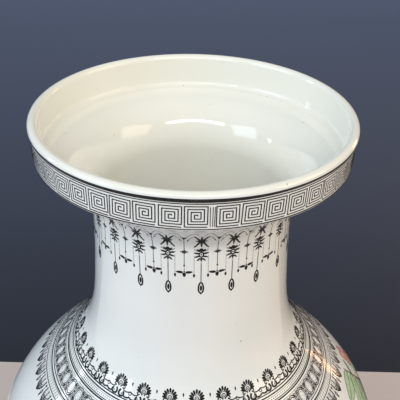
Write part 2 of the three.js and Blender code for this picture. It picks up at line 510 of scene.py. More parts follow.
@dataclass
class Stencil:
    """Line-work drawn flat in millimetres: x to the right, y towards the lip.

    Every stroke and dab is a closed solid that stands a little above the glaze
    and reaches a little below it.
    """

    rise: float = 0.09
    sink: float = 0.07
    longest: float = 1.5
    vertices: list = field(default_factory=list)
    faces: list = field(default_factory=list)
    count: int = 0

    def _keep(self, vertices: np.ndarray, faces: list) -> None:
        """Adds a solid to the drawing."""
        self.vertices.append(vertices)
        self.faces.extend(block + self.count for block in faces)
        self.count += len(vertices)

    def _divided(self, points: np.ndarray, closed: bool) -> np.ndarray:
        """The same line with no step longer than the longest one allowed."""
        ends = np.roll(points, -1, axis=0) if closed else points[1:]
        starts = points if closed else points[:-1]
        lengths = np.linalg.norm(ends - starts, axis=1)
        parts = [a + np.linspace(0, 1, max(1, math.ceil(n / self.longest)), endpoint=False)[:, None] * (b - a)
                 for a, b, n in zip(starts, ends, lengths)]
        return np.concatenate(parts + ([] if closed else [points[-1:]]))

    def stroke(self, points: np.ndarray, width: float, closed: bool = False,
               taper: tuple = (1.0, 1.0)) -> None:
        """Lays a line with mitred corners.

        The line's two edges lie half its width to each side, along the mean of
        the directions square to the steps before and after each point.

        Args:
            points: the line, x and y in each row.
            width: its width.
            closed: whether its end joins its start.
            taper: shares of the width at its start and its end.
        """
        points = self._divided(np.asarray(points, float), closed)
        if closed:
            before, after = points - np.roll(points, 1, axis=0), np.roll(points, -1, axis=0) - points
        else:
            steps = np.diff(points, axis=0)
            before, after = np.vstack([steps[:1], steps]), np.vstack([steps, steps[-1:]])
        before /= np.linalg.norm(before, axis=1)[:, None]
        after /= np.linalg.norm(after, axis=1)[:, None]
        square = np.column_stack([-(before + after)[:, 1], (before + after)[:, 0]])
        square /= np.maximum(np.linalg.norm(square, axis=1), 1e-6)[:, None]
        turn = np.abs(np.sum(square * np.column_stack([-after[:, 1], after[:, 0]]), axis=1))
        share = np.linspace(taper[0], taper[1], len(points))
        if taper[0] < 0.5 and taper[1] < 0.5:
            share = taper[0] + (1 - taper[0]) * np.sin(np.linspace(0, np.pi, len(points)))
        edge = square * (0.5 * width * share / np.maximum(turn, 0.55))[:, None]
        left, right = points + edge, points - edge
        ring = np.stack([
            np.column_stack([left, np.full(len(points), -self.sink)]),
            np.column_stack([left, np.full(len(points), self.rise)]),
            np.column_stack([right, np.full(len(points), self.rise)]),
            np.column_stack([right, np.full(len(points), -self.sink)])], axis=1)
        number = np.arange(len(points) * 4).reshape(-1, 4)
        nxt = np.roll(number, -1, axis=0) if closed else number[1:]
        here = number if closed else number[:-1]
        sides = np.stack([here, np.roll(here, -1, axis=1), np.roll(nxt, -1, axis=1), nxt], axis=-1)
        faces = [sides.reshape(-1, 4)]
        if not closed:
            faces.append(number[:1, ::-1][:, [3, 0, 1, 2]])
            faces.append(number[-1:])
        self._keep(ring.reshape(-1, 3), faces)

    def dab(self, outline: np.ndarray) -> None:
        """Fills an anticlockwise outline with a slightly domed spot of enamel.

        Rings of points that share the outline's shape step in towards the middle,
        so that a large spot still follows the curve of the pot.
        """
        outline = np.asarray(outline, float)
        count = len(outline)
        middle = outline.mean(axis=0)
        spread = np.linalg.norm(outline - middle, axis=1).max()
        shares = np.linspace(1.0, 0.0, 1 + max(1, math.ceil(spread / 2.0)))[:-1]
        lifts = self.rise * (1.6 - 0.6 * shares ** 2)
        rings = [np.column_stack([middle + s * (outline - middle), np.full(count, z)])
                 for s, z in zip(shares, lifts)]
        rings = [np.column_stack([middle + s * (outline - middle), np.full(count, -self.sink)])
                 for s in shares[::-1]] + rings
        centre = np.array([[*middle, -self.sink], [*middle, self.rise * 1.6]])
        number = np.arange(len(rings) * count).reshape(-1, count)
        nxt = np.roll(number, -1, axis=1)
        sides = np.stack([number[:-1], nxt[:-1], nxt[1:], number[1:]], axis=-1)
        last = len(rings) * count
        under = np.column_stack([np.full(count, last), nxt[0], number[0]])
        fan = np.column_stack([np.full(count, last + 1), number[-1], nxt[-1]])
        self._keep(np.vstack(rings + [centre]), [sides.reshape(-1, 4), under, fan])

    def dot(self, x: float, y: float, radius: float, count: int = 8) -> None:
        """A round spot."""
        self.dab(ellipse(x, y, radius, radius, count=count))

    def both(self, points: np.ndarray, width: float, taper: tuple = (1.0, 1.0)) -> None:
        """The same open line on the right and on the left."""
        self.stroke(points, width, taper=taper)
        self.stroke(mirrored(points)[::-1], width, taper=taper)

    def both_dabs(self, outline: np.ndarray) -> None:
        """The same spot on the right and on the left."""
        self.dab(outline)
        self.dab(mirrored(outline))


@dataclass
class GlazeSurface:
    """The outside of the pot as a strip to draw on: distance along the meridian,
    from the foot up, and angle round the axis."""

    form: VaseForm

    def __post_init__(self) -> None:
        """Measures the meridian: body and neck, cove, rounded edge and rim."""
        f = self.form
        body = surface_run(f.outer, np.linspace(f.foot_bevel, f.throat, 1600), 1.0)
        cove = DishMouth(f).cove_run(160)
        edge = DishMouth(f).edge_run(24)
        rim = DishMouth(f).rim_run(80)
        lip = DishMouth(f).lip_run(1.0, 90.0, 20)
        points = np.concatenate([run[0] for run in (body, cove, edge, rim, lip)])
        normals = np.concatenate([run[1] for run in (body, cove, edge, rim, lip)])
        step = np.concatenate([[1.0], np.linalg.norm(np.diff(points, axis=0), axis=1)])
        fresh = step > 1e-9
        self.points, self.normals = points[fresh], normals[fresh]
        self.along = np.concatenate([[0.0], np.cumsum(np.linalg.norm(np.diff(self.points, axis=0), axis=1))])

    def at_depth(self, depth: float) -> float:
        """Distance along the meridian of the point that lies so many mm below the datum."""
        return float(np.interp(self.form.datum - depth * MM, self.points[:, 1], self.along))

    def at_height(self, height: float) -> float:
        """Distance along the meridian of the point at a height in mm."""
        return float(np.interp(height * MM, self.points[:, 1], self.along))

    def radius_at(self, along: float) -> float:
        """Radius in metres at a distance along the meridian."""
        return float(np.interp(along, self.along, self.points[:, 0]))

    def place(self, angle: np.ndarray, along: np.ndarray, lift: np.ndarray) -> np.ndarray:
        """Puts points of the strip on the pot: the meridian point, moved out along
        its normal by the lift, and turned to the angle.

        Args:
            angle: radians from the front, to the right.
            along: distance up the meridian in metres.
            lift: height above the glaze in metres.

        Returns:
            One row of x, y, z for each point.
        """
        radius, height = (np.interp(along, self.along, self.points[:, k]) for k in (0, 1))
        out, up = (np.interp(along, self.along, self.normals[:, k]) for k in (0, 1))
        across, away = turn_matrix(angle)
        radius = radius + lift * out
        return np.column_stack([radius * across, radius * away, height + lift * up])

    def lay(self, name: str, stencil: Stencil, base: float, repeats: int, phase: float = 0.0,
             pitch: float | None = None, wobble: float = 0.0,
            reference: float | None = None) -> bpy.types.Object:
        """Repeats a drawing round the pot, each copy a little off, as a hand draws it.

        Args:
            name: object name.
            stencil: the drawing.
            base: distance along the meridian where the drawing's y is 0.
            repeats: number of copies.
            phase: angle of the first copy in degrees.
            pitch: angle between copies in degrees, or None for an even turn.
            wobble: how far a copy may be off, in mm.
            reference: distance along the meridian where widths are true, or None for the base.

        Returns:
            The new object.
        """
        flat = np.concatenate(stencil.vertices)
        radius = self.radius_at(base if reference is None else reference)
        rng = np.random.default_rng(SEED + repeats)
        off = wobble * rng.uniform(-1, 1, (repeats, 2))
        lean = 0.035 * (wobble > 0) * rng.uniform(-1, 1, (repeats, 1))
        x = flat[None, :, 0] - lean * flat[None, :, 1] + off[:, :1]
        y = flat[None, :, 1] + lean * flat[None, :, 0] + off[:, 1:]
        turn = np.radians(phase + (360.0 / repeats if pitch is None else pitch) * np.arange(repeats))
        angle = turn[:, None] + x * MM / radius
        along = base + y * MM
        lift = np.broadcast_to(flat[None, :, 2] * MM, x.shape)
        vertices = self.place(angle.ravel(), along.ravel(), lift.ravel())
        shift = (np.arange(repeats) * len(flat))[:, None, None]
        faces = [(block[None] + shift).reshape(-1, block.shape[1]) for block in stencil.faces]
        return finish_mesh(name, vertices, faces, False)

    def line(self, name: str, along: float, width: float, segments: int = 360,
             rise: float = 0.09, sink: float = 0.07, swing: float = 0.12) -> bpy.types.Object:
        """A line or a broad band all the way round: a thin ring that follows the glaze.

        Args:
            name: object name.
            along: distance along the meridian.
            width: width in mm.
            segments: steps in a turn.
            rise, sink: reach above and below the glaze in mm.
            swing: share by which the width swells and thins round the turn.

        Returns:
            The new object.
        """
        angle = 2 * np.pi * np.arange(segments) / segments
        swell = 1 + swing * (np.sin(angle * 3 + along * 900) + 0.7 * np.sin(angle * 7 + along * 500))
        half = 0.5 * width * swell * MM
        across = np.linspace(-1, 1, max(2, 1 + math.ceil(width / 2.0)))
        corners = [(side, -sink) for side in across] + [(side, rise) for side in across[::-1]]
        rings = [self.place(angle, along + side * half, np.full(segments, lift * MM))
                 for side, lift in corners]
        number = np.arange(len(corners) * segments).reshape(-1, segments)
        nxt = np.roll(number, -1, axis=1)
        sides = np.stack([number, np.roll(number, -1, axis=0), np.roll(nxt, -1, axis=0), nxt], axis=-1)
        return finish_mesh(name, np.concatenate(rings), [sides.reshape(-1, 4)], False)


# The pot


def glaze_walls(piece: bpy.types.Object, form: VaseForm) -> None:
    """Glazes a clay piece: the faces that look at the axis or lie in the dish take the inner glaze, a lighter,
    creamier copy that is painted warm light.

    Args:
        piece: the clay piece, still without materials.
        form: sizes of the pot.
    """
    for glaze in Glaze:
        name = glaze.value.name
        piece.data.materials.append(bpy.data.materials.get(name) or glaze.value.build())
    count = len(piece.data.polygons)
    centre, normal = np.zeros(count * 3), np.zeros(count * 3)
    piece.data.polygons.foreach_get("center", centre)
    piece.data.polygons.foreach_get("normal", normal)
    centre, normal = centre.reshape(-1, 3), normal.reshape(-1, 3)
    radius = np.linalg.norm(centre[:, :2], axis=1)
    inward = np.sum(centre[:, :2] * normal[:, :2], axis=1) < 0
    in_dish = (normal[:, 2] > 0) & (centre[:, 2] > form.throat)
    on_floor = (normal[:, 2] > 0) & (centre[:, 2] < form.seams[0])
    inside = (inward | in_dish | on_floor) & (radius < form.lip_radius - 0.05 * form.lip_width)
    inside &= centre[:, 2] > form.foot_recess + 0.5 * form.base_thickness
    # Material 1 is the inner copy of the glaze, whose lighter, warmer tone is painted light.
    piece.data.polygons.foreach_set("material_index", inside.astype(np.int32))


@dataclass
class WallSection:
    """A thrown ring of wall between two joints, glazed inside and out."""

    form: VaseForm
    name: str
    low: float
    high: float
    step: float = 0.0016

    def build(self) -> bpy.types.Object:
        """Builds the section and dresses it.

        Returns:
            The piece that stands for the section.
        """
        count = max(8, round((self.high - self.low) / self.step))
        up = np.linspace(self.low, self.high, count)
        outside = surface_run(self.form.outer, up, 1.0)
        inside = surface_run(self.form.inner, up[::-1], -1.0)
        piece = revolve(f"{self.name}_glazed", [
            outside, flat_run(tuple(outside[0][-1]), tuple(inside[0][0])),
            inside, flat_run(tuple(inside[0][-1]), tuple(outside[0][0]))])
        glaze_walls(piece, self.form)
        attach(piece, BODY)
        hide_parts(self.name)
        return piece


@dataclass
class BaseSection:
    """The disc and turned foot ring, glazed but for the ring's bare edge."""

    form: VaseForm
    name: str = "base_section"

    def build(self) -> bpy.types.Object:
        """Builds the base, with its bare foot edge in biscuit."""
        f = self.form
        top = f.seams[0]
        floor = f.foot_recess + f.base_thickness
        corner_top = floor + f.base_corner
        corner_centre = float(f.inner(corner_top)) - f.base_corner
        ring_in = f.radii[0] - f.foot_ring
        recess_edge = (ring_in - f.foot_taper, f.foot_recess)
        foot_out = (f.radii[0] - f.foot_bevel, 0.0)
        outside = surface_run(f.outer, np.linspace(f.foot_bevel, top, 36), 1.0)
        inside = surface_run(f.inner, np.linspace(top, corner_top, 14), -1.0)
        corner = arc_run((corner_centre, corner_top), (f.base_corner, f.base_corner), 0, -90, -1.0, 14)
        piece = revolve(f"{self.name}_glazed", [
            flat_run((0.0, f.foot_recess), recess_edge, 24), flat_run(recess_edge, (ring_in, 0.0), 8),
            flat_run((ring_in, 0.0), foot_out, 6), flat_run(foot_out, tuple(outside[0][0]), 3), outside,
            flat_run(tuple(outside[0][-1]), tuple(inside[0][0])), inside, corner,
            flat_run((corner_centre, floor), (0.0, floor), 24)])
        glaze_walls(piece, f)
        piece.data.materials.append(Biscuit().build())
        count = len(piece.data.polygons)
        centres, finish = np.zeros(count * 3), np.zeros(count, np.int32)
        piece.data.polygons.foreach_get("center", centres)
        piece.data.polygons.foreach_get("material_index", finish)
        bare = centres.reshape(-1, 3)[:, 2] < 1.1 * f.foot_bevel
        finish[bare] = len(piece.data.materials) - 1
        piece.data.polygons.foreach_set("material_index", finish)
        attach(piece, BODY)
        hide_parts(self.name)
        return piece


@dataclass
class DishMouth:
    """Cove, rim, rolled lip and the dish floor that falls into the neck."""

    form: VaseForm
    name: str = "dish_mouth"

    def cove_run(self, count: int) -> Run:
        """Hollow part of an ellipse from the throat out to the rim's lower edge.

        It ends where the rounded edge starts, so its half height is the rise to
        that point over the sine of the angle there.
        """
        f = self.form
        end_radius, end_height = self.edge_run(2)[0][0]
        half_width = f.underside_centre - f.radii[-1]
        end = math.acos((end_radius - f.underside_centre) / half_width)
        half_height = (end_height - f.throat) / math.sin(end)
        return arc_run((f.underside_centre, f.throat), (half_width, half_height), 180,
                       math.degrees(end), -1.0, count)

    def edge_run(self, count: int) -> Run:
        """Rounded lower edge of the rim."""
        f = self.form
        centre = (f.edge_centre, f.height - f.rim_height)
        return arc_run(centre, (f.rim_edge, f.rim_edge), f.rim_edge_start, 0, 1.0, count)

    def rim_run(self, count: int) -> Run:
        """Upright rim, from its lower edge to just under the lip."""
        f = self.form
        low = (f.edge_centre + f.rim_edge, f.height - f.rim_height)
        return flat_run(low, (f.rim_outside, f.height - 2 * f.lip_half), count)

    def lip_run(self, start: float, stop: float, count: int) -> Run:
        """Rolled lip: half an ellipse over the top of the rim."""
        f = self.form
        centre = (f.lip_radius - f.lip_width / 2, f.height - f.lip_half)
        return arc_run(centre, (f.lip_width / 2, f.lip_half), start, stop, 1.0, count)

    def build(self) -> bpy.types.Object:
        """Builds the dish and dresses it."""
        f = self.form
        throat_inside = float(f.inner(f.throat))
        rim_inside = f.lip_radius - f.lip_width
        floor_radius = rim_inside - f.dish_corner
        floor_height = f.height - f.floor_depth
        bore_top = f.throat + f.bore
        rim = self.rim_run(10)
        lip = self.lip_run(0, 180, 30)
        step = flat_run(tuple(rim[0][-1]), tuple(lip[0][0]), 4)
        corner = arc_run((floor_radius, floor_height + f.dish_corner), (f.dish_corner, f.dish_corner),
                         0, -90, -1.0, 12)
        floor = arc_run((floor_radius, bore_top), (floor_radius - throat_inside, floor_height - bore_top),
                        90, 180, 1.0, 48)
        piece = revolve(f"{self.name}_glazed", [
            self.cove_run(40), self.edge_run(8), rim, step, lip,
            flat_run((rim_inside, f.height - f.lip_half), (rim_inside, floor_height + f.dish_corner), 8),
            corner, floor, flat_run((throat_inside, bore_top), (throat_inside, f.throat), 4),
            flat_run((throat_inside, f.throat), (f.radii[-1], f.throat))], segments=320)
        glaze_walls(piece, f)
        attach(piece, BODY)
        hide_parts(self.name)
        return piece


@dataclass
class SlipBead:
    """The low ridge that a slip joint leaves on the inside, under the glaze."""

    form: VaseForm
    name: str
    seam: float
    half_height: float = 0.0030
    proud: float = 0.0010
    root: float = 0.0004

    def build(self) -> bpy.types.Object:
        """Builds the bead: a cosine swell on the inner wall, closed behind by the wall's line."""
        heights = np.linspace(self.seam + self.half_height, self.seam - self.half_height, 15)
        share = (heights - self.seam) / self.half_height
        swell = 0.5 * (1 + np.cos(np.pi * share)) * (self.proud + self.root)
        front = np.column_stack([self.form.inner(heights) + self.root - swell, heights])
        slope = np.gradient(front[:, 0], front[:, 1])
        normal = -np.column_stack([np.ones_like(slope), -slope])
        normal /= np.linalg.norm(normal, axis=1)[:, None]
        piece = revolve(f"{self.name}_bead", [
            (front, normal), flat_run(tuple(front[-1]), tuple(front[0]), 2)], segments=192)
        glaze_walls(piece, self.form)
        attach(piece, BODY)
        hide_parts(self.name)
        return piece


@dataclass
class Pot:
    """All the clay: base, wall sections, dish mouth and the beads of the joints."""

    form: VaseForm
    names: tuple = ("lower_body", "flank", "belly", "shoulder", "neck")

    def build(self) -> list:
        """Builds every clay piece.

        Returns:
            The pieces, from the foot up.
        """
        pieces = [BaseSection(self.form).build()]
        for name, low, high in zip(self.names, self.form.seams[:-1], self.form.seams[1:]):
            pieces.append(WallSection(self.form, name, low, high).build())
            pieces.append(SlipBead(self.form, f"slip_under_{name}", low).build())
        pieces.append(DishMouth(self.form).build())
        pieces.append(SlipBead(self.form, "slip_under_dish", self.form.throat, proud=-0.00005).build())
        return pieces


# The painting


@dataclass
class Painter:
    """Lays drawings on the pot and dresses them in enamel."""

    surface: GlazeSurface
    inks: dict = field(default_factory=dict)

    def dress(self, piece: bpy.types.Object, ink: Ink) -> bpy.types.Object:
        """Gives a piece its enamel and fixes it to the pot."""
        if ink not in self.inks:
            self.inks[ink] = ink.value.build()
        piece.data.materials.append(self.inks[ink])
        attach(piece, BODY)
        return piece

    def lay(self, ink: Ink, *args, **kwargs) -> bpy.types.Object:
        """Lays a repeated drawing in one enamel."""
        return self.dress(self.surface.lay(*args, **kwargs), ink)

    def line(self, ink: Ink, *args, **kwargs) -> bpy.types.Object:
        """Lays a line all the way round in one enamel."""
        return self.dress(self.surface.line(*args, **kwargs), ink)


def square_spiral(width: float, height: float, pitch: float) -> np.ndarray:
    """A square spiral that winds inwards from its lower right corner.

    Each side is shorter than the one before the last by one pitch.

    Args:
        width, height: outside size.
        pitch: distance between neighbouring turns.

    Returns:
        The corners of the line, centred on the origin.
    """
    left, right, low, high = -width / 2, width / 2, -height / 2, height / 2
    points = [(right, low)]
    while right - left > 0.4 * pitch and high - low > 0.4 * pitch:
        points += [(left, low), (left, high), (right, high)]
        low += pitch
        points.append((right, low))
        left, right, high = left + pitch, right - pitch, high - pitch
        if right - left > 0.4 * pitch:
            points[-1] = (right + pitch, low)
    return np.array(points)


@dataclass
class RimPainting:
    """Black line under the lip and the band of square spirals on the rim."""

    painter: Painter
    lip_line_depth: float = 3.0
    lip_line_width: float = 2.3
    upper_depth: float = 5.2
    lower_depth: float = 21.0
    spirals: int = 46
    closing_gap: float = 1.9
    spiral_width: float = 11.9
    spiral_height: float = 12.7
    spiral_pitch: float = 1.72
    phase: float = 6.0

    def build(self) -> list:
        """Builds the rim's line-work."""
        surface = self.painter.surface
        pitch = (360.0 - self.closing_gap) / self.spirals
        spiral = Stencil()
        spiral.stroke(square_spiral(self.spiral_width, self.spiral_height, self.spiral_pitch), 0.62)
        closing = Stencil()
        for x in (-0.9, 0.35, 1.3):
            closing.stroke(np.array([[x, -6.2], [x * 1.15, 6.1]]), 0.42)
        middle = surface.at_depth(0.5 * (self.upper_depth + self.lower_depth) + 0.1)
        first = self.phase + self.closing_gap / 2 + pitch / 2
        return [
            self.painter.line(Ink.BLACK, "rim_line_under_lip", surface.at_depth(self.lip_line_depth),
                              self.lip_line_width),
            self.painter.line(Ink.BLACK, "rim_line_upper", surface.at_depth(self.upper_depth), 0.6),
            self.painter.line(Ink.BLACK, "rim_line_lower", surface.at_depth(self.lower_depth), 0.7),
            self.painter.lay(Ink.BLACK, "rim_square_spirals", spiral, middle, self.spirals,
                             phase=first, pitch=pitch, wobble=0.14),
            self.painter.lay(Ink.GREY, "rim_closing_strokes", closing, middle, 1, phase=self.phase),
        ]


@dataclass
class NeckPendants:
    """Strung ornaments that hang round the top of the neck."""

    painter: Painter
    repeats: int = 21
    phase: float = 4.96
    cross_depth: float = 50.6

    def _down(self, depth: float) -> float:
        """Height of a depth below the lip, in the drawing's millimetres."""
        surface = self.painter.surface
        return (surface.at_depth(depth) - surface.at_depth(self.cross_depth)) / MM

    def _cross(self, ink: Stencil) -> None:
        """Four curved arms round an upright, with a short bar."""
        ink.stroke(np.array([[0.0, -5.0], [0.0, 5.0]]), 1.5, taper=(0.3, 0.3))
        ink.stroke(np.array([[-1.9, 0.0], [1.9, 0.0]]), 1.1)
        for sign in (1.0, -1.0):
            arm = bezier([(0.3, 0.6 * sign), (2.0, 1.1 * sign), (2.2, 3.6 * sign), (4.3, 5.0 * sign)])
            ink.both(arm, 1.5, taper=(1.0, 0.5))
        ink.both_dabs(leaf(0.9, 0.0, 2.6, 1.4, 8.0, 8))

    def _jewel(self, ink: Stencil, fine: Stencil) -> None:
        """A tiered jewel: trefoil, rows of leaf points and a ringed boss."""
        top = self._down(56.6)
        ink.dab(ellipse(0.0, top - 1.0, 1.3, 1.3, count=10))
        ink.both_dabs(leaf(0.4, top - 2.0, 3.0, 1.7, 32.0, 8))
        ink.both_dabs(leaf(0.9, top - 3.8, 3.8, 1.7, 12.0, 8))
        ink.both_dabs(leaf(0.9, top - 5.4, 3.4, 1.5, -14.0, 8))
        ink.both_dabs(leaf(0.5, top - 6.8, 3.0, 1.4, -42.0, 8))
        ink.stroke(ellipse(0.0, top - 4.4, 1.3, 1.7, count=12), 0.85, closed=True)
        ink.dot(0.0, top - 4.4, 0.5)
        ink.dab(leaf(0.0, top - 6.4, 2.8, 1.6, -90.0, 8))
        fine.both(bezier([(0.8, top - 2.4), (2.5, top - 1.8), (3.6, top - 1.4), (4.1, top - 0.4)], 8), 0.4)

    def _strings(self, ink: Stencil, fine: Stencil) -> None:
        """Long middle string with a ringed drop, and two beaded side strings."""
        start, drop_top, drop_low = self._down(64.4), self._down(80.6), self._down(89.4)
        for i in range(4):
            ink.dot(0.0, start - 0.9 * i, 0.3, 6)
        fine.stroke(np.array([[0.0, start - 3.2], [0.0, drop_top]]), 0.5)
        middle = 0.5 * (drop_top + drop_low)
        half = 0.5 * (drop_top - drop_low)
        ring = ellipse(0.0, 0.0, 1.0, 1.0, count=20)
        ring = np.column_stack([ring[:, 0] * 1.5 * (1 - 0.16 * ring[:, 1]),
                                middle + ring[:, 1] * half * 0.88])
        ink.stroke(ring, 0.95, closed=True)
        ink.dab(ellipse(0.05, middle - 0.3, 0.75, 2.1, count=10))
        ink.dab(leaf(0.0, drop_low + 0.9, 1.5, 1.3, -90.0, 8))
        side_top, side_low = self._down(62.0), self._down(75.4)
        for side in (-4.15, 4.15):
            for y in np.arange(side_low + 0.6, side_top, 0.98):
                ink.dot(side, float(y), 0.25, 5)
            ink.dab(leaf(side, side_low + 0.6, 2.6, 1.7, -90.0, 8))

    def _between(self, ink: Stencil, fine: Stencil) -> None:
        """Small pendant between two crosses: nail, rosette and a two-bladed bud."""
        half = math.pi * self.painter.surface.form.radii[-1] / MM / self.repeats
        nail, rosette, blades = self._down(48.2), self._down(59.3), self._down(74.0)
        ink.dab(np.array([[half, nail - 1.6], [half + 1.4, nail + 1.1],
                          [half, nail + 0.7], [half - 1.4, nail + 1.1]]))
        for x in (-2.3, 2.3):
            ink.dot(half + x, nail - 1.6, 0.48, 6)
        fine.stroke(np.array([[half, nail - 1.2], [half, rosette + 1.6]]), 0.36)
        for angle in (0.0, 90.0, 180.0, 270.0):
            long = 2.5 if angle in (0.0, 180.0) else 1.8
            fine.dab(leaf(half, rosette, long, 1.25, angle, 8))
        for angle in (38.0, 142.0, 218.0, 322.0):
            fine.dab(leaf(half, rosette, 1.6, 0.8, angle, 6))
        fine.stroke(np.array([[half, rosette - 1.7], [half, blades + 5.6]]), 0.36)
        for i in range(5):
            ink.dot(half, blades + 5.0 - 0.95 * i, 0.26 if i else 0.6, 6)
        for sign, angle in ((1.0, 6.0), (-1.0, 174.0)):
            ink.dab(leaf(half + sign * 0.7, blades, 4.4, 2.3, angle, 10))
        ink.dab(leaf(half, blades - 0.1, 3.2, 2.7, -90.0, 10))
        ink.dab(leaf(half, blades - 0.1, 1.5, 1.1, 90.0, 8))

    def _swags(self, fine: Stencil) -> None:
        """Thin loops that tie each cross to its neighbours under the rim."""
        half = math.pi * self.painter.surface.form.radii[-1] / MM / self.repeats
        top, low = self._down(43.0), self._down(49.0)
        fine.both(bezier([(1.6, top - 2.2), (4.0, top + 1.0),
                          (half - 3.4, top + 0.4), (half - 0.8, low + 1.0)], 14), 0.24)
        fine.both(bezier([(4.5, 5.0), (6.2, 4.0), (half - 2.4, 1.6), (half - 1.3, -0.6)], 10), 0.22)

    def build(self) -> list:
        """Builds the strung ornaments."""
        ink, fine = Stencil(), Stencil(rise=0.075)
        self._cross(ink)
        self._jewel(ink, fine)
        self._strings(ink, fine)
        self._between(ink, fine)
        self._swags(fine)
        base = self.painter.surface.at_depth(self.cross_depth)
        throat = self.painter.surface.at_depth(60.0)
        settings = {"phase": self.phase, "wobble": 0.25, "reference": throat}
        return [
            self.painter.lay(Ink.BLACK, "neck_pendants", ink, base, self.repeats, **settings),
            self.painter.lay(Ink.GREY, "neck_strings", fine, base, self.repeats, **settings),
        ]


